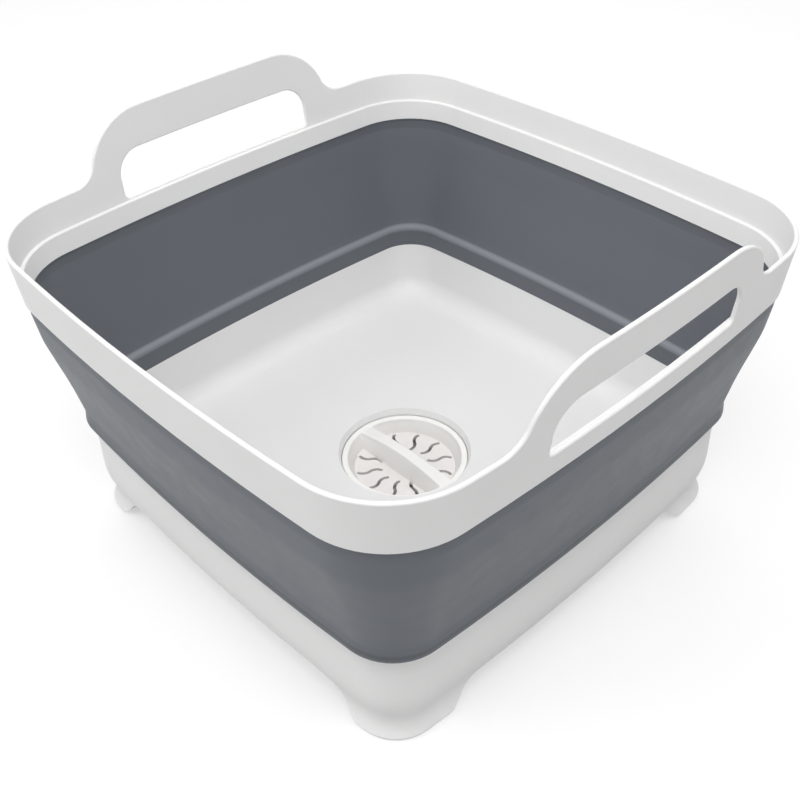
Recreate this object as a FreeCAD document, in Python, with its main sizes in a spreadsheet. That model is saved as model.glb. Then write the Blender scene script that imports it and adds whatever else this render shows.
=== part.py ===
import FreeCAD, Part
import math
import os

import Sketcher

# Folding washing-up bowl: a stiff base tray on four corner feet, a soft folding wall, a stiff rim with two
# carrying handles, and a strainer plug with its seal in the sump of the floor.
# Millimetres. The origin is the middle of the surface that the feet stand on, Z is up and the handles are at
# +X and -X. An inset is measured inwards from the rim's outer face.

SIZES = [
    ("rim_length", 309.0, "rim over its two handle sides, at the middle of each"),
    ("rim_width", 314.0, "rim over its two plain sides, at the middle of each"),
    ("side_radius", 1480.0, "radius of the outward bow of all four sides"),
    ("floor_corner", 9.5, "corner radius of the flat floor, where the cove ends"),
    ("rim_height", 175.0, "rim's upper edge above the surface"),
    ("rim_band", 28.6, "height of the rim"),
    ("rim_draft", 3.5, "inward lean of the rim's outer face over its height, which the handles follow"),
    ("rim_wall", 4.3, "thickness of the rim at its lower edge"),
    ("lip_wall", 2.4, "thickness of the rim's lip and of the handles"),
    ("lip_round", 0.9, "rounding of the lip's and the handles' edges"),
    ("ledge_drop", 17.0, "ledge inside the rim, below the upper edge"),
    ("ledge_step", 2.0, "how far the rim's lower part stands inwards from the lip"),
    ("ledge_round", 0.8, "rounding of the ledge's edge"),
    ("groove_cheek", 1.4, "rim's outer cheek beside the groove for the wall's tongue"),
    ("handle_rise", 32.0, "handle above the rim's upper edge"),
    ("handle_flat", 92.0, "straight part of the handle's top"),
    ("handle_crown", 36.0, "radius of the handle's upper corners"),
    ("handle_fillet", 14.0, "radius from the handle into the rim's edge"),
    ("slot_length", 129.0, "hand slot along the handle"),
    ("slot_rise", 9.6, "top of the hand slot above the rim's upper edge"),
    ("slot_crown", 14.0, "radius of the hand slot's upper corners"),
    ("slot_toe", 3.0, "radius of the hand slot's lower corners"),
    ("slot_sill", 1.0, "bottom of the hand slot above the ledge"),
    ("fit_gap", 0.3, "clearance around tongues, plug and seal"),
    ("tongue_wall", 1.0, "thickness of the tongues that tie the wall to rim and base"),
    ("tongue_height", 4.6, "height of those tongues"),
    ("flange_set", 1.1, "set back of the wall's upper edge from the rim's face"),
    ("hinge_recess", 1.3, "set back of the upper hinge band from the rim's face"),
    ("hinge_wall", 1.8, "thickness of the wall at the hinge band and the crease"),
    ("hinge_height", 8.0, "height of the upper hinge band"),
    ("shoulder", 1.8, "height of the shoulders from thin to thick wall"),
    ("panel_wall", 3.2, "thickness of the wall's sloping panel"),
    ("wall_lean", 16.5, "inward lean of the panel from hinge band to crease"),
    ("lower_band", 8.6, "crease above the belt"),
    ("band_wall", 4.6, "thickness of the wall's lower band"),
    ("band_lean", 0.2, "inward lean of the lower band"),
    ("band_bulge", 20.0, "radius of the lower band's outer face"),
    ("belt_height", 62.4, "upper edge of the base's belt above the surface"),
    ("belt_edge", 0.5, "set back of the belt's upper edge under the lower band"),
    ("belt_set", 3.8, "set back of the belt's face from that edge"),
    ("belt_flare", 14.0, "height over which the belt flares out to that edge"),
    ("valley_height", 11.0, "hollow of the feet above the surface"),
    ("valley_depth", 3.6, "set back of that hollow from the belt's face"),
    ("valley_round", 18.0, "radius in the hollow"),
    ("foot_wall", 3.2, "thickness of the feet"),
    ("toe_round", 2.0, "rounding of the feet's lower edge"),
    ("toe_plate", 2.4, "thickness of the feet's inner sole"),
    ("toe_depth", 3.6, "how far the sole reaches inwards"),
    ("tray_draft", 7.0, "inward lean of the tray's inner wall, degrees"),
    ("cove_radius", 11.5, "radius from the tray's wall to its floor"),
    ("floor_height", 29.0, "floor above the surface"),
    ("floor_wall", 2.8, "thickness of the floor"),
    ("end_arch_flat", 141.0, "straight part of the arches on the handle sides"),
    ("end_arch_rise", 14.4, "height of the arches on the handle sides"),
    ("end_arch_crown", 16.0, "upper corner radius of those arches"),
    ("side_arch_flat", 139.0, "straight part of the arches on the plain sides"),
    ("side_arch_rise", 19.5, "height of the arches on the plain sides"),
    ("side_arch_crown", 26.0, "upper corner radius of those arches"),
    ("arch_toe", 20.0, "radius from an arch to a foot's sole"),
    ("plug_radius", 35.8, "outer radius of the strainer's ring"),
    ("plug_drop", 3.8, "strainer's ring below the floor"),
    ("ring_wall", 3.6, "width of the strainer's ring"),
    ("ring_round", 0.8, "rounding of the ring's upper edges"),
    ("ring_slope", 3.5, "width of the slope from the ring down to the disc"),
    ("disc_drop", 7.5, "slotted disc below the ring's top"),
    ("disc_wall", 2.4, "thickness of the slotted disc"),
    ("bar_width", 8.6, "width of the grip bar at its top"),
    ("bar_flare", 3.0, "how far each side of the grip bar spreads towards the disc"),
    ("bar_round", 0.7, "rounding of the grip bar's upper edges"),
    ("slit_count", 12.0, "slots around the disc, two of them closed by the bar"),
    ("slit_middle", 20.5, "middle of a slot from the plug's axis"),
    ("slit_width", 1.9, "width of a slot"),
    ("slit_bend", 5.5, "radius of the slot's two bends"),
    ("slit_turn", 75.0, "turn of each bend, degrees"),
    ("slit_skew", 32.0, "slant of the slot at its middle, degrees"),
    ("seat_depth", 14.8, "seat of the strainer below the floor"),
    ("seat_width", 6.0, "width of that seat"),
    ("mouth_flare", 1.6, "width of the dished edge around the plug"),
    ("mouth_depth", 3.0, "depth of the dished edge"),
    ("sump_depth", 20.0, "sump's floor below the bowl's floor"),
    ("sump_wall", 2.2, "thickness of the sump's wall and floor"),
    ("outlet_radius", 13.0, "radius of the outlet in the sump's floor"),
    ("hub_radius", 9.0, "radius of the hub under the disc"),
    ("pin_radius", 4.0, "radius of the pin that holds the seal"),
    ("pin_length", 2.8, "length of that pin"),
    ("seal_radius", 18.0, "radius of the seal"),
    ("seal_height", 4.0, "height of the seal"),
    ("seal_lip", 1.5, "height and width of the seal's slanted lip"),
    ("seal_floor", 1.0, "thickness of the seal under the pin"),
]

doc = FreeCAD.newDocument("folding_bowl")
sheet = doc.addObject("Spreadsheet::Sheet", "Sizes")
for row, (alias, number, note) in enumerate(SIZES, start=1):
    sheet.set("A%d" % row, note)
    sheet.set("B%d" % row, str(number))
    sheet.setAlias("B%d" % row, alias)
doc.recompute()


def size(expression):
    """The number that an expression over the sheet's sizes gives."""
    found = sheet.evalExpression(expression)
    return float(getattr(found, "Value", found))


def bound(expression):
    """The same expression as a feature writes it, with every size named in the sheet."""
    words = []
    word = ""
    for letter in expression + " ":
        if letter.isalnum() or letter == "_":
            word += letter
            continue
        words.append("Sizes." + word if word in ALIASES else word)
        words.append(letter)
        word = ""
    return "".join(words).strip()


ALIASES = {alias for alias, number, note in SIZES}


def origin_part(body, role):
    for feature in body.Origin.OriginFeatures:
        if feature.Role == role:
            return feature
    raise ValueError("no origin feature " + role)


def new_sketch(body, name, plane, offset=None):
    """A sketch on one of the body's origin planes, shifted along the plane's normal by an expression."""
    sketch = body.newObject("Sketcher::SketchObject", name)
    sketch.AttachmentSupport = [(origin_part(body, plane), "")]
    sketch.MapMode = "FlatFace"
    if offset is not None:
        sketch.AttachmentOffset.Base = FreeCAD.Vector(0, 0, size(offset))
        sketch.setExpression("AttachmentOffset.Base.z", bound(offset))
    return sketch


def hold(sketch, kind, geometry, place, expression):
    """Ties one coordinate of a point to an expression; kind is DistanceX or DistanceY."""
    number = size(expression)
    if abs(number) < 1e-9:
        axis = -2 if kind == "DistanceX" else -1
        sketch.addConstraint(Sketcher.Constraint("PointOnObject", geometry, place, axis))
        return
    if number > 0:
        index = sketch.addConstraint(Sketcher.Constraint(kind, -1, 1, geometry, place, number))
        sketch.setExpression("Constraints[%d]" % index, bound(expression))
        return
    index = sketch.addConstraint(Sketcher.Constraint(kind, geometry, place, -1, 1, -number))
    sketch.setExpression("Constraints[%d]" % index, bound("-(%s)" % expression))


def hold_radius(sketch, geometry, expression):
    index = sketch.addConstraint(Sketcher.Constraint("Radius", geometry, size(expression)))
    sketch.setExpression("Constraints[%d]" % index, bound(expression))


def arc_between(start, end, radius, turn):
    """The shorter arc from start to end; turn is 1 against the clock and -1 with it."""
    across = end - start
    middle = (start + end) * 0.5
    left = FreeCAD.Vector(-across.y, across.x, 0) * (1.0 / across.Length)
    away = math.sqrt(max(radius ** 2 - (across.Length / 2) ** 2, 0.0))
    centre = middle + left * (turn * away)
    first = math.atan2(start.y - centre.y, start.x - centre.x)
    last = math.atan2(end.y - centre.y, end.x - centre.x)
    circle = Part.Circle(centre, FreeCAD.Vector(0, 0, 1), radius)
    if turn < 0:
        first, last = last, first
    if last < first:
        last += 2 * math.pi
    return Part.ArcOfCircle(circle, first, last)


def draw(sketch, corners):
    """A closed outline. Each corner is (x, y, edge): two expressions and the edge that leaves the corner,
    None for a straight one or (radius, turn) for an arc."""
    points = [FreeCAD.Vector(size(x), size(y), 0) for x, y, edge in corners]
    count = len(corners)
    drawn = []
    for number, (x, y, edge) in enumerate(corners):
        start = points[number]
        end = points[(number + 1) % count]
        if edge is None:
            index = sketch.addGeometry(Part.LineSegment(start, end), False)
            drawn.append((index, 1, 2))
            continue
        radius, turn = edge
        index = sketch.addGeometry(arc_between(start, end, size(radius), turn), False)
        drawn.append((index, 1, 2) if turn > 0 else (index, 2, 1))
    for number, (index, start_place, end_place) in enumerate(drawn):
        following, next_place, unused = drawn[(number + 1) % count]
        sketch.addConstraint(Sketcher.Constraint("Coincident", index, end_place, following, next_place))
    for (x, y, edge), (index, start_place, end_place) in zip(corners, drawn):
        hold(sketch, "DistanceX", index, start_place, x)
        hold(sketch, "DistanceY", index, start_place, y)
        if edge is not None:
            hold_radius(sketch, index, edge[0])


def corner_centre(length, width, bow, corner):
    """Where the corner's arc has its centre: it touches the bowed sides from inside."""
    along_x = length / 2 - corner
    along_y = width / 2 - corner
    for step in range(60):
        along_x = math.sqrt((bow - corner) ** 2 - along_y ** 2) - (bow - length / 2)
        along_y = math.sqrt((bow - corner) ** 2 - along_x ** 2) - (bow - width / 2)
    return along_x, along_y


def ring_path(sketch, inset):
    """Plan of the bowl at an inset: four bowed sides and four round corners, all tangent. It starts at the
    middle of the +X side."""
    bow = size("side_radius")
    length = size("rim_length")
    width = size("rim_width")
    corner = size(RIM_CORNER)
    shrink = size(inset)
    along_x, along_y = corner_centre(length, width, bow, corner)
    reach = corner - shrink
    tilt_x = math.asin(along_y / (bow - corner))
    tilt_y = math.asin(along_x / (bow - corner))
    quarter = math.pi / 2
    centre_x = bow - length / 2
    centre_y = bow - width / 2
    arcs = [
        (-centre_x, 0.0, bow - shrink, 0.0, tilt_x),
        (along_x, along_y, reach, tilt_x, quarter - tilt_y),
        (0.0, -centre_y, bow - shrink, quarter - tilt_y, quarter + tilt_y),
        (-along_x, along_y, reach, quarter + tilt_y, 2 * quarter - tilt_x),
        (centre_x, 0.0, bow - shrink, 2 * quarter - tilt_x, 2 * quarter + tilt_x),
        (-along_x, -along_y, reach, 2 * quarter + tilt_x, 3 * quarter - tilt_y),
        (0.0, centre_y, bow - shrink, 3 * quarter - tilt_y, 3 * quarter + tilt_y),
        (along_x, -along_y, reach, 3 * quarter + tilt_y, 4 * quarter - tilt_x),
        (-centre_x, 0.0, bow - shrink, 4 * quarter - tilt_x, 4 * quarter),
    ]
    for x, y, radius, first, last in arcs:
        circle = Part.Circle(FreeCAD.Vector(x, y, 0), FreeCAD.Vector(0, 0, 1), radius)
        sketch.addGeometry(Part.ArcOfCircle(circle, first, last), False)
    for number in range(8):
        sketch.addConstraint(Sketcher.Constraint("Tangent", number, 2, number + 1, 1))
    sketch.addConstraint(Sketcher.Constraint("Coincident", 8, 2, 0, 1))
    sketch.addConstraint(Sketcher.Constraint("Coincident", 8, 3, 0, 3))
    sketch.addConstraint(Sketcher.Constraint("PointOnObject", 0, 1, -1))
    for number in (0, 2, 4, 6):
        hold_radius(sketch, number, "side_radius - (%s)" % inset)
    for number in (1, 3, 5, 7):
        hold_radius(sketch, number, "%s - (%s)" % (RIM_CORNER, inset))
    hold(sketch, "DistanceX", 0, 3, "rim_length / 2 - side_radius")
    hold(sketch, "DistanceY", 0, 3, "0")
    hold(sketch, "DistanceX", 2, 3, "0")
    hold(sketch, "DistanceY", 2, 3, "rim_width / 2 - side_radius")
    hold(sketch, "DistanceX", 4, 3, "side_radius - rim_length / 2")
    hold(sketch, "DistanceY", 4, 3, "0")
    hold(sketch, "DistanceX", 6, 3, "0")
    hold(sketch, "DistanceY", 6, 3, "side_radius - rim_width / 2")


def ring_sweep(body, name, corners):
    """A cross-section, drawn in the XZ plane with insets for x, carried all the way round the bowl."""
    path = new_sketch(body, name + "_path", "XY_Plane")
    ring_path(path, "0")
    section = new_sketch(body, name + "_section", "XZ_Plane")
    draw(section, [("rim_length / 2 - (%s)" % inset, height, edge) for inset, height, edge in corners])
    doc.recompute()
    sweep = body.newObject("PartDesign::AdditivePipe", name)
    sweep.Profile = section
    sweep.Spine = (path, ["Edge%d" % (number + 1) for number in range(9)])
    sweep.Mode = "Frenet"
    doc.recompute()
    return sweep


def swell(flat, rise, crown, fillet, floor):
    """The outline of a hump of given rise: fillet, crown, straight top, crown, fillet."""
    half = "(%s) / 2" % flat
    reach = "sqrt((%s + %s)^2 - (%s - %s - %s)^2)" % (crown, fillet, rise, crown, fillet)
    turn_along = "%s + %s * %s / (%s + %s)" % (half, crown, reach, crown, fillet)
    turn_up = "%s + %s - %s + %s * (%s + %s - %s) / (%s + %s)" % (
        floor, rise, crown, crown, crown, fillet, rise, crown, fillet)
    foot = "%s + %s" % (half, reach)
    top = "%s + %s" % (floor, rise)
    return [
        ("-(%s)" % foot, floor, (fillet, 1)),
        ("-(%s)" % turn_along, turn_up, (crown, -1)),
        ("-(%s)" % half, top, None),
        (half, top, (crown, -1)),
        (turn_along, turn_up, (fillet, 1)),
        (foot, floor, None),
    ]


def cut(body, name, sketch, reverse, both_ways=False):
    """A pocket right through, which has to take material away."""
    before = body.Shape.Volume
    pocket = body.newObject("PartDesign::Pocket", name)
    pocket.Profile = sketch
    pocket.Type = "ThroughAll"
    pocket.Reversed = reverse
    if both_ways:
        pocket.SideType = "Symmetric"
    doc.recompute()
    if body.Shape.Volume >= before - 1e-6:
        raise ValueError(name + " takes nothing away")
    return pocket


def turned(body, name, sketch, kind="PartDesign::Revolution"):
    """A solid or a cut of revolution about Z."""
    feature = body.newObject(kind, name)
    feature.Profile = sketch
    feature.ReferenceAxis = (origin_part(body, "Z_Axis"), [""])
    feature.Angle = 360
    doc.recompute()
    return feature


def sharp_edges(shape, wanted):
    """Names of the wanted edges where two faces meet at an angle. An edge is judged by its middle and by the
    normals of its two faces there."""
    names = []
    for number, edge in enumerate(shape.Edges, start=1):
        place = edge.valueAt((edge.FirstParameter + edge.LastParameter) / 2)
        normals = []
        for face in shape.ancestorsOfType(edge, Part.Face):
            u, v = face.Surface.parameter(place)
            normals.append(face.normalAt(u, v))
        if len(normals) != 2 or normals[0].getAngle(normals[1]) <= math.radians(30):
            continue
        if wanted(place, normals):
            names.append("Edge%d" % number)
    return names


def looks_inwards(place, normals):
    """Whether one of an edge's two faces looks towards the bowl's axis."""
    return min(normal.x * place.x + normal.y * place.y for normal in normals) < -1


def round_edges(body, name, radius, wanted):
    """Rounds the body's wanted sharp edges."""
    last = body.Tip
    fillet = body.newObject("PartDesign::Fillet", name)
    fillet.Base = (last, sharp_edges(last.Shape, wanted))
    fillet.setExpression("Radius", bound(radius))
    doc.recompute()
    return fillet


def new_body(label):
    body = doc.addObject("PartDesign::Body", label)
    body.Label = label
    return body


# Places that several pieces share.
RIM_BOTTOM = "(rim_height - rim_band)"
RIM_INNER = "(rim_draft + rim_wall)"
LEDGE = "(rim_height - ledge_drop)"
HANDLE_TOP = "(rim_height + handle_rise)"
HANDLE_FLARE = "(rim_draft * handle_rise / rim_band)"
LIP_FOOT = "(lip_wall + rim_draft * ledge_drop / rim_band)"
GROOVE = "(rim_draft + groove_cheek)"
HINGE = "(rim_draft + hinge_recess + hinge_wall / 2)"
CREASE = "(%s + wall_lean)" % HINGE
CREASE_HEIGHT = "(belt_height + lower_band)"
SEAM = "(%s + band_lean)" % CREASE
BELT_EDGE = "(%s - band_wall / 2 + belt_edge)" % SEAM
BELT = "(%s + belt_set)" % BELT_EDGE
COVE_START_HEIGHT = "(floor_height + cove_radius * (1 - sin(tray_draft)))"
COVE_START = "(%s + band_wall / 2 + (belt_height - %s) * tan(tray_draft))" % (SEAM, COVE_START_HEIGHT)
COVE_END = "(%s + cove_radius * cos(tray_draft))" % COVE_START
RIM_CORNER = "(floor_corner + %s)" % COVE_END
BELT_INNER = "(%s + foot_wall)" % BELT
FLOOR_UNDER = "(floor_height - floor_wall)"
RING_TOP = "(floor_height - plug_drop)"
DISC_TOP = "(%s - disc_drop)" % RING_TOP
DISC_UNDER = "(%s - disc_wall)" % DISC_TOP
SEAT = "(floor_height - seat_depth)"
SUMP_FLOOR = "(floor_height - sump_depth)"
SUMP_UNDER = "(%s - sump_wall)" % SUMP_FLOOR
MOUTH = "(plug_radius + fit_gap)"
SUMP_RADIUS = "(%s - seat_width)" % MOUTH
SEAL_TOP = "(%s + seal_height)" % SUMP_FLOOR


# The rim: one section with the lip as tall as the handles; what stands above the rim's edge beside the
# handles is then cut away, the edge is rounded, and the two hand slots are cut through.
rim = new_body("rim_frame")
ring_sweep(rim, "rim_ring", [
    ("-%s" % HANDLE_FLARE, HANDLE_TOP, None),
    ("lip_wall - %s" % HANDLE_FLARE, HANDLE_TOP, None),
    (LIP_FOOT, LEDGE, None),
    ("%s + ledge_step - ledge_round" % LIP_FOOT, LEDGE, ("ledge_round", 1)),
    ("%s + ledge_step" % LIP_FOOT, "%s - ledge_round" % LEDGE, None),
    (RIM_INNER, RIM_BOTTOM, None),
    ("%s + tongue_wall + 2 * fit_gap" % GROOVE, RIM_BOTTOM, None),
    ("%s + tongue_wall + 2 * fit_gap" % GROOVE, "%s + tongue_height + fit_gap" % RIM_BOTTOM, None),
    (GROOVE, "%s + tongue_height + fit_gap" % RIM_BOTTOM, None),
    (GROOVE, RIM_BOTTOM, None),
    ("rim_draft", RIM_BOTTOM, None),
])
sky = new_sketch(rim, "beside_handles", "YZ_Plane")
draw(sky, swell("handle_flat", "handle_rise", "handle_crown", "handle_fillet", "rim_height") + [
    ("rim_width", "rim_height", None),
    ("rim_width", "%s + handle_rise" % HANDLE_TOP, None),
    ("-rim_width", "%s + handle_rise" % HANDLE_TOP, None),
    ("-rim_width", "rim_height", None),
])
cut(rim, "handles_left", sky, False, True)
round_edges(rim, "lip_outer_edges", "lip_round", lambda place, normals: (
    place.z > size("rim_height") - 0.01 and not looks_inwards(place, normals)))
round_edges(rim, "lip_inner_edges", "lip_round", lambda place, normals: (
    place.z > size("rim_height") - 0.01 and looks_inwards(place, normals)))
slot = new_sketch(rim, "hand_slot", "YZ_Plane")
SLOT_TOP = "rim_height + slot_rise"
SLOT_SILL = "%s + slot_sill" % LEDGE
draw(slot, [
    ("-slot_length / 2 + slot_toe", SLOT_SILL, None),
    ("slot_length / 2 - slot_toe", SLOT_SILL, ("slot_toe", 1)),
    ("slot_length / 2", "%s + slot_toe" % SLOT_SILL, None),
    ("slot_length / 2", "%s - slot_crown" % SLOT_TOP, ("slot_crown", 1)),
    ("slot_length / 2 - slot_crown", SLOT_TOP, None),
    ("-slot_length / 2 + slot_crown", SLOT_TOP, ("slot_crown", 1)),
    ("-slot_length / 2", "%s - slot_crown" % SLOT_TOP, None),
    ("-slot_length / 2", "%s + slot_toe" % SLOT_SILL, ("slot_toe", 1)),
])
cut(rim, "hand_slots", slot, False, True)
round_edges(rim, "slot_edges", "lip_round", lambda place, normals: (
    size(SLOT_SILL) - 0.01 < place.z < size(SLOT_TOP) + 0.01
    and abs(place.y) < size("slot_length") / 2 + 0.01))

# The folding wall: tongue in the rim's groove, thin hinge band, thick sloping panel, thin crease, and the
# lower band with its groove over the base's tongue.
wall = new_body("folding_wall")
HINGE_BOTTOM = "%s - hinge_height" % RIM_BOTTOM
ring_sweep(wall, "wall_ring", [
    ("rim_draft + flange_set", RIM_BOTTOM, None),
    ("%s + fit_gap" % GROOVE, RIM_BOTTOM, None),
    ("%s + fit_gap" % GROOVE, "%s + tongue_height" % RIM_BOTTOM, None),
    ("%s + fit_gap + tongue_wall" % GROOVE, "%s + tongue_height" % RIM_BOTTOM, None),
    ("%s + fit_gap + tongue_wall" % GROOVE, RIM_BOTTOM, None),
    (RIM_INNER, RIM_BOTTOM, None),
    ("%s + hinge_wall / 2" % HINGE, "%s - shoulder" % RIM_BOTTOM, None),
    ("%s + hinge_wall / 2" % HINGE, HINGE_BOTTOM, None),
    ("%s + panel_wall / 2" % HINGE, "%s - shoulder" % HINGE_BOTTOM, None),
    ("%s + panel_wall / 2" % CREASE, "%s + shoulder" % CREASE_HEIGHT, None),
    ("%s + hinge_wall / 2" % CREASE, CREASE_HEIGHT, None),
    ("%s + band_wall / 2" % CREASE, "%s - shoulder" % CREASE_HEIGHT, None),
    ("%s + band_wall / 2" % SEAM, "belt_height", None),
    ("%s + tongue_wall / 2 + fit_gap" % SEAM, "belt_height", None),
    ("%s + tongue_wall / 2 + fit_gap" % SEAM, "belt_height + tongue_height + fit_gap", None),
    ("%s - tongue_wall / 2 - fit_gap" % SEAM, "belt_height + tongue_height + fit_gap", None),
    ("%s - tongue_wall / 2 - fit_gap" % SEAM, "belt_height", None),
    ("%s - band_wall / 2" % SEAM, "belt_height", ("band_bulge", 1)),
    ("%s - band_wall / 2" % CREASE, "%s - shoulder" % CREASE_HEIGHT, None),
    ("%s - hinge_wall / 2" % CREASE, CREASE_HEIGHT, None),
    ("%s - panel_wall / 2" % CREASE, "%s + shoulder" % CREASE_HEIGHT, None),
    ("%s - panel_wall / 2" % HINGE, "%s - shoulder" % HINGE_BOTTOM, None),
    ("%s - hinge_wall / 2" % HINGE, HINGE_BOTTOM, None),
    ("%s - hinge_wall / 2" % HINGE, "%s - shoulder" % RIM_BOTTOM, None),
])

# The base: a ring with the feet's section, which bends in under the belt and out again to the sole, opened
# by four arches that leave the corner feet; then the tray's ring with tongue, belt and cove on top of it,
# and last the floor and the sump.
base = new_body("base_tray")
BRANCH = "(floor_height + cove_radius - sqrt((cove_radius + floor_wall)^2 - (%s - %s)^2))" % (
    COVE_END, BELT_INNER)
FALL = "(%s - valley_height)" % BRANCH
BENDS = "((valley_depth^2 + %s^2) / (2 * valley_depth))" % FALL
HIP = "(%s - valley_round)" % BENDS
HOLLOW = "(%s + valley_depth - valley_round)" % BELT
SOLE = "(%s + sqrt(valley_round^2 - (valley_height - toe_round)^2))" % HOLLOW
SOLE_INNER = "(%s + sqrt((valley_round + foot_wall)^2 - (valley_height - toe_plate)^2))" % HOLLOW
ring_sweep(base, "feet_ring", [
    (BELT_INNER, BRANCH, ("%s - foot_wall" % HIP, -1)),
    ("%s + %s - (%s - foot_wall) * (1 - valley_depth / %s)" % (BELT, HIP, HIP, BENDS),
     "%s - (%s - foot_wall) * %s / %s" % (BRANCH, HIP, FALL, BENDS), ("valley_round + foot_wall", 1)),
    (SOLE_INNER, "toe_plate", None),
    ("%s + toe_depth" % SOLE_INNER, "toe_plate", None),
    ("%s + toe_depth" % SOLE_INNER, "0", None),
    ("%s + toe_round" % SOLE, "0", ("toe_round", 1)),
    (SOLE, "toe_round", ("valley_round", -1)),
    ("%s + %s * valley_depth / %s" % (BELT, HIP, BENDS),
     "%s - %s * %s / %s" % (BRANCH, HIP, FALL, BENDS), (HIP, 1)),
    (BELT, BRANCH, None),
])
end_arch = new_sketch(base, "end_arch", "YZ_Plane")
draw(end_arch, swell("end_arch_flat", "end_arch_rise", "end_arch_crown", "arch_toe", "0") + [
    ("end_arch_flat", "-toe_plate", None),
    ("-end_arch_flat", "-toe_plate", None),
])
cut(base, "end_arches", end_arch, False, True)
side_arch = new_sketch(base, "side_arch", "XZ_Plane")
draw(side_arch, swell("side_arch_flat", "side_arch_rise", "side_arch_crown", "arch_toe", "0") + [
    ("side_arch_flat", "-toe_plate", None),
    ("-side_arch_flat", "-toe_plate", None),
])
cut(base, "side_arches", side_arch, False, True)
ring_sweep(base, "tray_ring", [
    (BELT_EDGE, "belt_height", None),
    ("%s - tongue_wall / 2" % SEAM, "belt_height", None),
    ("%s - tongue_wall / 2" % SEAM, "belt_height + tongue_height", None),
    ("%s + tongue_wall / 2" % SEAM, "belt_height + tongue_height", None),
    ("%s + tongue_wall / 2" % SEAM, "belt_height", None),
    ("%s + band_wall / 2" % SEAM, "belt_height", None),
    (COVE_START, COVE_START_HEIGHT, ("cove_radius", -1)),
    (COVE_END, "floor_height", None),
    (COVE_END, FLOOR_UNDER, ("cove_radius + floor_wall", 1)),
    (BELT_INNER, BRANCH, None),
    (BELT, BRANCH, None),
    (BELT, "belt_height - belt_flare", ("(belt_set^2 + belt_flare^2) / (2 * belt_set)", -1)),
])
floor_plan = new_sketch(base, "floor_plan", "XY_Plane", FLOOR_UNDER)
ring_path(floor_plan, "%s - floor_corner / 4" % COVE_END)
floor = base.newObject("PartDesign::Pad", "floor")
floor.Profile = floor_plan
floor.setExpression("Length", bound("floor_wall"))
doc.recompute()
sump = new_sketch(base, "sump_outside", "XZ_Plane")
draw(sump, [
    ("0", SUMP_UNDER, None),
    ("%s + sump_wall" % SUMP_RADIUS, SUMP_UNDER, None),
    ("%s + sump_wall" % SUMP_RADIUS, "%s - sump_wall" % SEAT, None),
    ("%s + sump_wall" % MOUTH, "%s - sump_wall" % SEAT, None),
    ("%s + sump_wall" % MOUTH, "floor_height", None),
    ("0", "floor_height", None),
])
turned(base, "sump", sump)
sump_room = new_sketch(base, "sump_inside", "XZ_Plane")
draw(sump_room, [
    ("0", "%s - sump_wall" % SUMP_UNDER, None),
    ("outlet_radius", "%s - sump_wall" % SUMP_UNDER, None),
    ("outlet_radius", SUMP_FLOOR, None),
    (SUMP_RADIUS, SUMP_FLOOR, None),
    (SUMP_RADIUS, SEAT, None),
    (MOUTH, SEAT, None),
    (MOUTH, "floor_height - mouth_depth", None),
    ("%s + mouth_flare" % MOUTH, "floor_height", None),
    ("%s + mouth_flare" % MOUTH, "floor_height + mouth_depth", None),
    ("0", "floor_height + mouth_depth", None),
])
turned(base, "sump_cut", sump_room, "PartDesign::Groove")

# The strainer plug: ring, disc, hub and pin in one turned section, twelve bent slots, and the grip bar,
# whose sides spread towards the disc.
plug = new_body("strainer_plug")
plug_section = new_sketch(plug, "plug_section", "XZ_Plane")
RING_INNER = "(plug_radius - ring_wall)"
draw(plug_section, [
    ("0", "%s - pin_length" % SEAL_TOP, None),
    ("pin_radius", "%s - pin_length" % SEAL_TOP, None),
    ("pin_radius", SEAL_TOP, None),
    ("hub_radius", SEAL_TOP, None),
    ("hub_radius", DISC_UNDER, None),
    (RING_INNER, DISC_UNDER, None),
    (RING_INNER, SEAT, None),
    ("plug_radius", SEAT, None),
    ("plug_radius", "%s - ring_round" % RING_TOP, ("ring_round", 1)),
    ("plug_radius - ring_round", RING_TOP, None),
    ("%s + ring_round" % RING_INNER, RING_TOP, ("ring_round", 1)),
    (RING_INNER, "%s - ring_round" % RING_TOP, None),
    ("%s - ring_slope" % RING_INNER, DISC_TOP, None),
    ("0", DISC_TOP, None),
])
turned(plug, "plug_turned", plug_section)
slit = new_sketch(plug, "slit", "XY_Plane", DISC_TOP)


def slit_point(side, spread, angle):
    """A point of the bent slot: side 1 is the bend nearer the axis, -1 the outer one."""
    centre_x = "slit_middle - (%d) * slit_bend * sin(slit_skew)" % side
    centre_y = "(%d) * slit_bend * cos(slit_skew)" % side
    reach = "(slit_bend + (%d) * slit_width / 2)" % spread
    return "%s + %s * cos(%s)" % (centre_x, reach, angle), "%s + %s * sin(%s)" % (centre_y, reach, angle)


WIDE = "slit_bend + slit_width / 2"
TIGHT = "slit_bend - slit_width / 2"
SLIT_START = "slit_skew - 90 - slit_turn"
SLIT_MIDDLE = "slit_skew - 90"
SLIT_END = "slit_skew + 90 - slit_turn"
draw(slit, [
    (*slit_point(1, 1, SLIT_START), (WIDE, 1)),
    (*slit_point(1, 1, SLIT_MIDDLE), (TIGHT, -1)),
    (*slit_point(-1, -1, SLIT_END), ("slit_width * 0.55", 1)),
    (*slit_point(-1, 1, SLIT_END), (WIDE, 1)),
    (*slit_point(1, -1, SLIT_MIDDLE), (TIGHT, -1)),
    (*slit_point(1, -1, SLIT_START), ("slit_width * 0.55", 1)),
])
slit_cut = cut(plug, "slit_cut", slit, False)
slits = plug.newObject("PartDesign::PolarPattern", "slits")
slits.Originals = [slit_cut]
slits.Axis = (origin_part(plug, "Z_Axis"), [""])
slits.Angle = 360
slits.setExpression("Occurrences", bound("slit_count"))
plug.Tip = slits
doc.recompute()
bar = new_sketch(plug, "bar_section", "YZ_Plane")
BAR_SIDE = "(bar_width / 2)"
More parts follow.
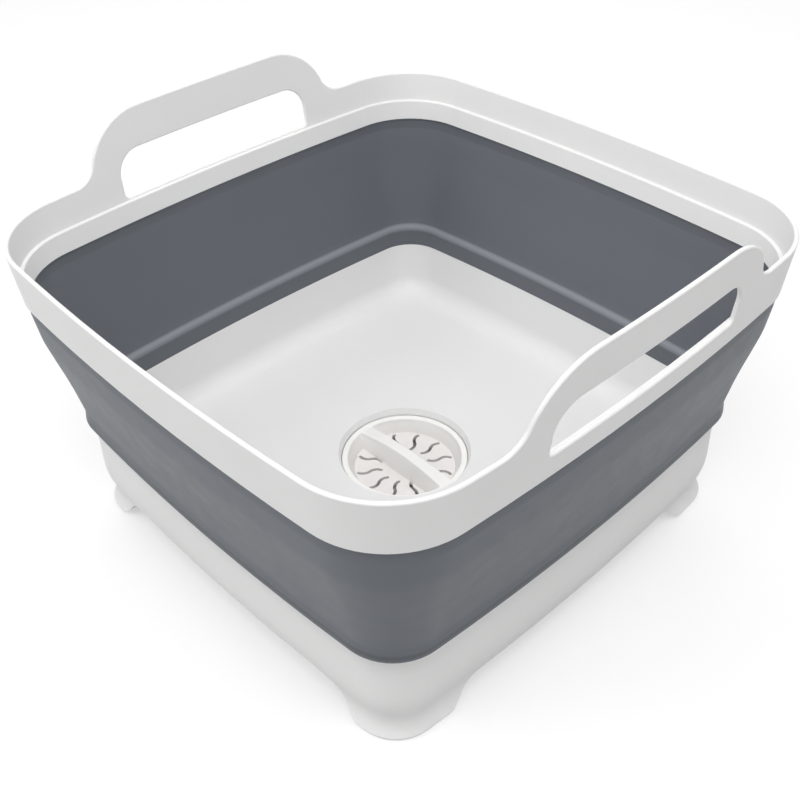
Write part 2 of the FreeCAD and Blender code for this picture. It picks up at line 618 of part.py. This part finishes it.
BAR_FOOT = "(bar_width / 2 + bar_flare)"
BAR_TOP = "(%s - bar_round)" % RING_TOP
draw(bar, [
    ("-%s" % BAR_FOOT, DISC_UNDER, None),
    (BAR_FOOT, DISC_UNDER, None),
    (BAR_FOOT, DISC_TOP, None),
    (BAR_SIDE, BAR_TOP, ("bar_round", 1)),
    ("%s - bar_round" % BAR_SIDE, RING_TOP, None),
    ("-%s + bar_round" % BAR_SIDE, RING_TOP, ("bar_round", 1)),
    ("-%s" % BAR_SIDE, BAR_TOP, None),
    ("-%s" % BAR_FOOT, DISC_TOP, None),
])
grip = plug.newObject("PartDesign::Pad", "grip_bar")
grip.Profile = bar
grip.SideType = "Symmetric"
grip.setExpression("Length", bound("2 * %s + ring_wall / 2" % RING_INNER))
doc.recompute()

# The seal: a soft disc over the outlet, held on the plug's pin.
seal = new_body("stopper_seal")
seal_section = new_sketch(seal, "seal_section", "XZ_Plane")
draw(seal_section, [
    ("0", SUMP_FLOOR, None),
    ("seal_radius - seal_lip", SUMP_FLOOR, None),
    ("seal_radius", "%s + seal_lip" % SUMP_FLOOR, None),
    ("seal_radius - seal_lip", SEAL_TOP, None),
    ("pin_radius + fit_gap", SEAL_TOP, None),
    ("pin_radius + fit_gap", "%s + seal_floor" % SUMP_FLOOR, None),
    ("0", "%s + seal_floor" % SUMP_FLOOR, None),
])
turned(seal, "seal_turned", seal_section)

doc.recompute()
for item in doc.Objects:
    if "Invalid" in item.State or "Error" in item.State:
        raise ValueError("%s failed: %s" % (item.Label, item.State))
os.makedirs("parts", exist_ok=True)
for body in (base, wall, rim, plug, seal):
    body.Placement = FreeCAD.Placement()
    if body.Shape.isNull() or not body.Shape.isValid():
        raise ValueError(body.Label + " has no valid shape")
    print("%s volume %.1f solids %d box %s" % (
        body.Label, body.Shape.Volume, len(body.Shape.Solids), body.Shape.BoundBox))
for body in (base, wall, rim, plug, seal):
    body.Shape.exportStep("parts/%s.step" % body.Label)
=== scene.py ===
import math

import bmesh
import bpy
from mathutils import Matrix, Vector


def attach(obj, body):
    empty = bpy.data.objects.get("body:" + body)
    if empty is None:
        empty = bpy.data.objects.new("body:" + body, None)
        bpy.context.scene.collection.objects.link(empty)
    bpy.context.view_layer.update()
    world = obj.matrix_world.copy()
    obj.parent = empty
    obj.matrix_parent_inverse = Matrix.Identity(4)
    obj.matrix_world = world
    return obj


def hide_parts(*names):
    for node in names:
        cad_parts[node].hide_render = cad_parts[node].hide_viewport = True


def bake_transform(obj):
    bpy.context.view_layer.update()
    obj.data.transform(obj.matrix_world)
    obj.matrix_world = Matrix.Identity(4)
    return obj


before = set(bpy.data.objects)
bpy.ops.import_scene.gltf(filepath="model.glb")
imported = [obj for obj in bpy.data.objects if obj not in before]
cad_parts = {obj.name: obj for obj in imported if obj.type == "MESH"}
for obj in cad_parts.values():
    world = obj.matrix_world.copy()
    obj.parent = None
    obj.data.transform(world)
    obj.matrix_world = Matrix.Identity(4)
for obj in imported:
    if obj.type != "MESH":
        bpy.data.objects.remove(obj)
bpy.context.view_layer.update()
scene = bpy.context.scene
MM = 0.001

# Plan of the bowl, in millimetres: four bowed sides and four round corners, as in the part's source.
RIM_LENGTH = 309.0
RIM_WIDTH = 314.0
SIDE_RADIUS = 1480.0
RIM_CORNER = 48.47

# How finely the meshes are made.
SOLVE_ROUNDS = 60
SIDE_STEPS = 30
CORNER_STEPS = 16
TURN_STEPS = 96
ROUND_STEPS = 5
ROUND_SHARE = 0.48
SHARP_ANGLE = math.radians(30)


def corner_centre():
    """Centre of a corner's arc, which touches the bowed sides from inside."""
    x = RIM_LENGTH / 2 - RIM_CORNER
    y = RIM_WIDTH / 2 - RIM_CORNER
    for _ in range(SOLVE_ROUNDS):
        x = math.sqrt((SIDE_RADIUS - RIM_CORNER) ** 2 - y ** 2) - (SIDE_RADIUS - RIM_LENGTH / 2)
        y = math.sqrt((SIDE_RADIUS - RIM_CORNER) ** 2 - x ** 2) - (SIDE_RADIUS - RIM_WIDTH / 2)
    return x, y


def plan():
    """Points of the rim's outer face with their outward directions, all the way round."""
    cx, cy = corner_centre()
    tilt_x = math.asin(cy / (SIDE_RADIUS - RIM_CORNER))
    tilt_y = math.asin(cx / (SIDE_RADIUS - RIM_CORNER))
    quarter = math.pi / 2
    far_x = SIDE_RADIUS - RIM_LENGTH / 2
    far_y = SIDE_RADIUS - RIM_WIDTH / 2
    arcs = [
        (-far_x, 0.0, SIDE_RADIUS, -tilt_x, tilt_x, SIDE_STEPS),
        (cx, cy, RIM_CORNER, tilt_x, quarter - tilt_y, CORNER_STEPS),
        (0.0, -far_y, SIDE_RADIUS, quarter - tilt_y, quarter + tilt_y, SIDE_STEPS),
        (-cx, cy, RIM_CORNER, quarter + tilt_y, 2 * quarter - tilt_x, CORNER_STEPS),
        (far_x, 0.0, SIDE_RADIUS, 2 * quarter - tilt_x, 2 * quarter + tilt_x, SIDE_STEPS),
        (-cx, -cy, RIM_CORNER, 2 * quarter + tilt_x, 3 * quarter - tilt_y, CORNER_STEPS),
        (0.0, far_y, SIDE_RADIUS, 3 * quarter - tilt_y, 3 * quarter + tilt_y, SIDE_STEPS),
        (cx, -cy, RIM_CORNER, 3 * quarter + tilt_y, 4 * quarter - tilt_x, CORNER_STEPS),
    ]
    points = []
    for x, y, radius, first, last, count in arcs:
        for step in range(count):
            angle = first + (last - first) * step / count
            out = (math.cos(angle), math.sin(angle))
            points.append((x + radius * out[0], y + radius * out[1], out[0], out[1]))
    return points


def soften(corners):
    """A closed outline whose corners are rounded: each corner is (x, y, radius)."""
    count = len(corners)
    line = []
    for number, (x, y, radius) in enumerate(corners):
        here = Vector((x, y))
        before = Vector(corners[number - 1][:2]) - here
        after = Vector(corners[(number + 1) % count][:2]) - here
        if radius <= 0:
            line.append((x, y))
            continue
        half = before.angle(after) / 2
        reach = min(radius / math.tan(half), before.length * ROUND_SHARE, after.length * ROUND_SHARE)
        start = here + before.normalized() * reach
        end = here + after.normalized() * reach
        for step in range(ROUND_STEPS + 1):
            t = step / ROUND_STEPS
            p = start * (1 - t) ** 2 + here * (2 * t * (1 - t)) + end * t ** 2
            line.append((p.x, p.y))
    return line


def add(name, data):
    """A new object in the scene."""
    made = bpy.data.objects.new(name, data)
    scene.collection.objects.link(made)
    return made


def new_piece(name, verts, faces):
    """A smooth object from points and faces."""
    mesh = bpy.data.meshes.new(name)
    mesh.from_pydata(verts, [], faces)
    mesh.validate()
    mesh.update()
    mesh.shade_smooth()
    return add(name, mesh)


def set_painted_light(mesh, values):
    """Keeps a value for each point, by which the material turns from its own colour to a lighter one that is
    painted light.
    """
    painted_light = mesh.attributes.new("painted_light", "FLOAT", "POINT")
    painted_light.data.foreach_set("value", values)


def swept(name, section):
    """A closed section of (inset, height) carried round the bowl."""
    ring = plan()
    verts = []
    for x, y, ox, oy in ring:
        for inset, height in section:
            verts.append(((x - inset * ox) * MM, (y - inset * oy) * MM, height * MM))
    size = len(section)
    total = len(ring)
    faces = []
    for k in range(total):
        a = k * size
        b = ((k + 1) % total) * size
        for j in range(size):
            n = (j + 1) % size
            faces.append((a + j, b + j, b + n, a + n))
    return new_piece(name, verts, faces)


def turned(name, section):
    """A section of (radius, height), whose ends lie on the axis, turned about Z."""
    verts = []
    for step in range(TURN_STEPS):
        angle = 2 * math.pi * step / TURN_STEPS
        for radius, height in section[1:-1]:
            verts.append((radius * math.cos(angle) * MM, radius * math.sin(angle) * MM, height * MM))
    row = len(section) - 2
    first_end = len(verts)
    last_end = first_end + 1
    verts.append((0, 0, section[0][1] * MM))
    verts.append((0, 0, section[-1][1] * MM))
    faces = []
    for step in range(TURN_STEPS):
        a = step * row
        b = ((step + 1) % TURN_STEPS) * row
        for j in range(row - 1):
            faces.append((a + j, b + j, b + j + 1, a + j + 1))
        faces.append((first_end, b, a))
        faces.append((a + row - 1, b + row - 1, last_end))
    return new_piece(name, verts, faces)


# Materials: noise scales are per metre, and the middle part of each noise is used.
DRIFT_SCALE = 14.0
DRIFT_DETAIL = 4.0
RUB_SCALE = 95.0
RUB_DETAIL = 6.0
GRAIN_DETAIL = 3.0
GRAIN_STRENGTH = 0.35
GLOSS_SPREAD = 0.03
NOISE_LOW = 0.3
NOISE_HIGH = 0.7


def material(name, colour, roughness, grain, depth, mottle, specular, painted_light=None):
    """Moulded plastic or rubber: faint colour drift, uneven gloss and a fine grain of the mould; where a
    lighter colour is given, painted light turns the colour to it point by point.
    """
    made = bpy.data.materials.new(name)
    made.use_nodes = True
    nodes = made.node_tree.nodes
    links = made.node_tree.links
    shader = nodes["Principled BSDF"]
    shader.inputs["Specular IOR Level"].default_value = specular
    place = nodes.new("ShaderNodeTexCoord")

    def noise(scale, detail):
        texture = nodes.new("ShaderNodeTexNoise")
        texture.inputs["Scale"].default_value = scale
        texture.inputs["Detail"].default_value = detail
        links.new(place.outputs["Object"], texture.inputs["Vector"])
        return texture.outputs["Fac"]

    tint = nodes.new("ShaderNodeValToRGB")
    dark, light = tint.color_ramp.elements
    dark.position = NOISE_LOW
    light.position = NOISE_HIGH
    dark.color = (*[c * (1 - mottle) for c in colour], 1)
    light.color = (*[min(c * (1 + mottle), 1) for c in colour], 1)
    links.new(noise(DRIFT_SCALE, DRIFT_DETAIL), tint.inputs["Fac"])
    shown = tint.outputs["Color"]
    # Painted light: points with a high share take the given lighter colour in place of light falling there.
    if painted_light:
        painted_light_share = nodes.new("ShaderNodeAttribute")
        painted_light_share.attribute_name = "painted_light"
        blend = nodes.new("ShaderNodeMix")
        blend.data_type = "RGBA"
        blend.inputs["B"].default_value = (*painted_light, 1)
        links.new(painted_light_share.outputs["Fac"], blend.inputs["Factor"])
        links.new(shown, blend.inputs["A"])
        shown = blend.outputs["Result"]
    links.new(shown, shader.inputs["Base Color"])
    gloss = nodes.new("ShaderNodeMapRange")
    gloss.inputs["From Min"].default_value = NOISE_LOW
    gloss.inputs["From Max"].default_value = NOISE_HIGH
    gloss.inputs["To Min"].default_value = roughness - GLOSS_SPREAD
    gloss.inputs["To Max"].default_value = roughness + GLOSS_SPREAD
    links.new(noise(RUB_SCALE, RUB_DETAIL), gloss.inputs["Value"])
    links.new(gloss.outputs["Result"], shader.inputs["Roughness"])
    bump = nodes.new("ShaderNodeBump")
    bump.inputs["Strength"].default_value = GRAIN_STRENGTH
    bump.inputs["Distance"].default_value = depth
    links.new(noise(grain, GRAIN_DETAIL), bump.inputs["Height"])
    links.new(bump.outputs["Normal"], shader.inputs["Normal"])
    return made


white = material("white_plastic", (0.82, 0.818, 0.815), roughness=0.48, grain=1400.0, depth=0.00004,
                 mottle=0.012, specular=0.24)
# The grey's lighter colour is a painted highlight on the bead at the crease.
grey = material("grey_elastomer", (0.135, 0.147, 0.166), roughness=0.46, grain=1800.0, depth=0.00006,
                mottle=0.015, specular=0.22, painted_light=(0.25, 0.266, 0.29))
# The ivory's lighter colour is painted light on the ring and bar tops; the darker disc is painted shade.
ivory = material("ivory_plastic", (0.775, 0.753, 0.735), roughness=0.40, grain=1500.0, depth=0.00004,
                 mottle=0.015, specular=0.45, painted_light=(0.885, 0.878, 0.858))
rubber = material("seal_rubber", (0.60, 0.60, 0.58), roughness=0.6, grain=1800.0, depth=0.00005,
                  mottle=0.03, specular=0.3)


def dress(piece, made):
    piece.data.materials.clear()
    piece.data.materials.append(made)


dress(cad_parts["rim_frame"], white)
dress(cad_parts["base_tray"], white)

# The folding wall, as (inset from the rim's outer face, height, rounding), in millimetres. Outside, from the
# top: hinge band under the rim, sloping panel that bows in a little, soft crease, rounded lower band over the
# belt's edge. Then inside, from below: the bead at the crease, the panel and the hinge band.
wall_section = soften([
    (4.6, 146.4, 0.2), (5.5, 144.2, 2.0), (5.3, 138.6, 9.0),
    (7.7, 122.5, 60.0), (11.2, 109.5, 60.0), (14.4, 98.0, 60.0), (16.9, 88.0, 60.0), (19.5, 76.0, 40.0),
    (20.7, 70.2, 16.0), (20.3, 65.0, 6.0), (20.1, 62.4, 0.5),
    (24.7, 62.4, 0.2), (25.4, 73.6, 2.6), (24.6, 76.2, 2.6), (22.4, 77.4, 1.4), (21.2, 81.0, 10.0),
    (19.5, 88.0, 40.0), (17.1, 98.0, 60.0), (14.0, 109.5, 60.0), (10.6, 122.8, 40.0), (7.9, 135.4, 6.0),
    (6.8, 139.6, 3.0), (6.8, 144.4, 1.0), (7.7, 146.4, 0.2),
])
# Where the painted highlight on the crease bead lies, and how far it reaches, in millimetres.
CREASE_BEAD = (24.3, 76.0)
CREASE_HIGHLIGHT_REACH = 2.9


def crease_highlight_share(inset, height):
    """One on the bead at the crease, where a painted highlight lightens the material, and nought a little
    away from it.
    """
    away = math.hypot(inset - CREASE_BEAD[0], height - CREASE_BEAD[1]) / CREASE_HIGHLIGHT_REACH
    return max(0.0, 1.0 - away * away)


wall = swept("soft_wall", wall_section)
# Painted highlight: the bead at the crease is painted lighter where it would catch the light from above.
set_painted_light(wall.data, [crease_highlight_share(*point) for point in wall_section] * len(plan()))
dress(wall, grey)
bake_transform(wall)
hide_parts("folding_wall")

# The strainer plug, in millimetres: the part's own shape, with the grip bar arched up between the two sides
# of the ring. The bar's sides go on at the same slope, so it is narrower where it is taller. The tops of ring
# and bar are painted lighter than the disc: painted light on the raised tops, painted shade on the recessed
# disc.
RING_TOP = 25.2
DISC_TOP = 17.7
DISC_CLEAR = 0.1
BAR_SIDE = 4.3
BAR_FOOT = 7.4
BAR_SLOPE = 0.4
BAR_REACH = 31.5
BAR_RISE = 2.7
BAR_CUTS = 24
SAME_POINT = 1e-6
ON_PLANE = 1e-7


def height_share(height):
    """Nought at the slotted disc and below it, one at the top of the ring and above it."""
    return min(max((height - DISC_TOP) / (RING_TOP - DISC_TOP), 0.0), 1.0)


def arched_plug(name):
    """The part's strainer, cut across its bar and with the points of the bar raised to an arch."""
    shape = bmesh.new()
    shape.from_mesh(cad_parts["strainer_plug"].data)
    bmesh.ops.remove_doubles(shape, verts=shape.verts, dist=SAME_POINT)
    for step in range(BAR_CUTS + 1):
        cut = BAR_REACH * (2 * step / BAR_CUTS - 1)
        bar = [f for f in shape.faces if min(abs(v.co.y) for v in f.verts) < BAR_FOOT * MM
               and max(v.co.z for v in f.verts) > (DISC_TOP + DISC_CLEAR) * MM]
        edges = dict.fromkeys(e for f in bar for e in f.edges)
        verts = dict.fromkeys(v for f in bar for v in f.verts)
        bmesh.ops.bisect_plane(shape, geom=[*verts, *edges, *bar], dist=ON_PLANE, plane_co=(cut * MM, 0, 0),
                               plane_no=(1, 0, 0))
    for vert in shape.verts:
        if abs(vert.co.x) < BAR_REACH * MM and abs(vert.co.y) < BAR_FOOT * MM:
            rise = BAR_RISE * (1 - (vert.co.x / MM / BAR_REACH) ** 2) * height_share(vert.co.z / MM)
            inward = BAR_SLOPE * rise * MM * min(abs(vert.co.y) / (BAR_SIDE * MM), 1.0)
            vert.co.y -= math.copysign(inward, vert.co.y)
            vert.co.z += rise * MM
    mesh = bpy.data.meshes.new(name)
    shape.to_mesh(mesh)
    shape.free()
    mesh.attributes.remove(mesh.attributes["custom_normal"])
    mesh.shade_smooth()
    mesh.set_sharp_from_angle(angle=SHARP_ANGLE)
    # Painted light on the ring and bar tops and painted shade on the recessed disc, set by height.
    set_painted_light(mesh, [height_share(v.co.z / MM) for v in mesh.vertices])
    return add(name, mesh)


strainer = arched_plug("arched_strainer")
dress(strainer, ivory)
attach(strainer, "plug")
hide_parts("strainer_plug")

# The seal on the plug's pin, as (radius, height, rounding): a turned soft disc with a slanted lip.
seal_section = soften([
    (0.0, 9.02, 0), (13.5, 9.02, 0.6), (16.4, 9.1, 0.8), (17.9, 10.5, 0.5), (16.4, 12.9, 0.8),
    (9.3, 12.98, 0.3), (4.4, 12.98, 0.3), (4.4, 10.1, 0.3), (0.0, 10.1, 0),
])
seal = turned("soft_seal", seal_section)
dress(seal, rubber)
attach(seal, "plug")
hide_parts("stopper_seal")

# Floor and surroundings: white where they are looked at, and plain where they light the bowl.
FLOOR_REACH = 4
FLOOR_DROP = 0.0002
FLOOR_COLOUR = (0.50, 0.50, 0.50, 1)
FLOOR_ROUGHNESS = 0.9
FLOOR_SPECULAR = 0.1
FLOOR_GLOW = 0.50
SKY_LIT = 0.52
SKY_SEEN = 1.0
PURE_WHITE = (1, 1, 1, 1)


def larger(tree, one, other):
    """The larger of two values."""
    step = tree.nodes.new("ShaderNodeMath")
    step.operation = "MAXIMUM"
    tree.links.new(one, step.inputs[0])
    tree.links.new(other, step.inputs[1])
    return step.outputs[0]


def by_ray(tree, lit, seen):
    """The value lit for the light that falls on things, and seen for rays from the camera or from a mirroring
    or clear surface."""
    path = tree.nodes.new("ShaderNodeLightPath")
    looked_at = larger(tree, path.outputs["Is Camera Ray"], path.outputs["Is Glossy Ray"])
    looked_at = larger(tree, looked_at, path.outputs["Is Transmission Ray"])
    level = tree.nodes.new("ShaderNodeMapRange")
    level.inputs["To Min"].default_value = lit
    level.inputs["To Max"].default_value = seen
    tree.links.new(looked_at, level.inputs["Value"])
    return level.outputs["Result"]


floor_mesh = bpy.data.meshes.new("floor")
floor_corners = [(-FLOOR_REACH, -FLOOR_REACH, 0), (FLOOR_REACH, -FLOOR_REACH, 0),
                 (FLOOR_REACH, FLOOR_REACH, 0), (-FLOOR_REACH, FLOOR_REACH, 0)]
floor_mesh.from_pydata(floor_corners, [], [(0, 1, 2, 3)])
floor = add("floor", floor_mesh)
floor.location.z = -FLOOR_DROP
floor_look = bpy.data.materials.new("pale_floor")
floor_look.use_nodes = True
floor_tree = floor_look.node_tree
floor_shader = floor_tree.nodes["Principled BSDF"]
floor_shader.inputs["Base Color"].default_value = FLOOR_COLOUR
floor_shader.inputs["Roughness"].default_value = FLOOR_ROUGHNESS
floor_shader.inputs["Specular IOR Level"].default_value = FLOOR_SPECULAR
floor_shader.inputs["Emission Color"].default_value = PURE_WHITE
floor_tree.links.new(by_ray(floor_tree, 0.0, FLOOR_GLOW), floor_shader.inputs["Emission Strength"])
dress(floor, floor_look)

world = bpy.data.worlds.new("studio")
world.use_nodes = True
sky = world.node_tree.nodes["Background"]
sky.inputs["Color"].default_value = PURE_WHITE
world.node_tree.links.new(by_ray(world.node_tree, SKY_LIT, SKY_SEEN), sky.inputs["Strength"])
scene.world = world

# Soft square lamps, all aimed at the bowl: name, place, width in metres, power in watts.
LAMP_AIM = Vector((0, 0, 0.1))
LAMPS = [
    ("left", (-0.75, -1.25, 0.95), 0.9, 7.0),
    ("front", (0.52, -0.50, 1.48), 1.0, 11.5),
    ("top", (0.15, 0.1, 1.6), 1.3, 3.0),
    ("right", (1.3, 0.35, 0.95), 1.0, 1.4),
    ("back", (-0.65, 0.75, 1.2), 1.0, 3.2),
]
for name, place, width, power in LAMPS:
    light = bpy.data.lights.new(name, "AREA")
    light.shape = "SQUARE"
    light.size = width
    light.energy = power
    lamp = add(name, light)
    lamp.location = place
    lamp.rotation_euler = (LAMP_AIM - Vector(place)).to_track_quat("-Z", "Y").to_euler()

# The camera, as fitted to the photograph.
CAMERA_AZIMUTH = math.radians(46.74)
CAMERA_ELEVATION = math.radians(35.18)
CAMERA_ROLL = math.radians(-1.29)
CAMERA_AIM = Vector((0, 0, 0.115))
CAMERA_DISTANCE = 0.5985

view = bpy.data.cameras.new("camera")
view.sensor_width = 36.0
view.sensor_fit = "HORIZONTAL"
view.lens = 51.38
view.shift_x = -0.00225
view.shift_y = -0.0920
camera = add("camera", view)
back = Vector((math.sin(CAMERA_AZIMUTH) * math.cos(CAMERA_ELEVATION),
               -math.cos(CAMERA_AZIMUTH) * math.cos(CAMERA_ELEVATION),
               math.sin(CAMERA_ELEVATION)))
right = Vector((math.cos(CAMERA_AZIMUTH), math.sin(CAMERA_AZIMUTH), 0))
up = back.cross(right)
right_rolled = right * math.cos(CAMERA_ROLL) + up * math.sin(CAMERA_ROLL)
up_rolled = up * math.cos(CAMERA_ROLL) - right * math.sin(CAMERA_ROLL)
turn = Matrix((right_rolled, up_rolled, back)).transposed()
camera.matrix_world = Matrix.Translation(CAMERA_AIM + back * CAMERA_DISTANCE) @ turn.to_4x4()
scene.camera = camera
scene.view_settings.view_transform = "Standard"
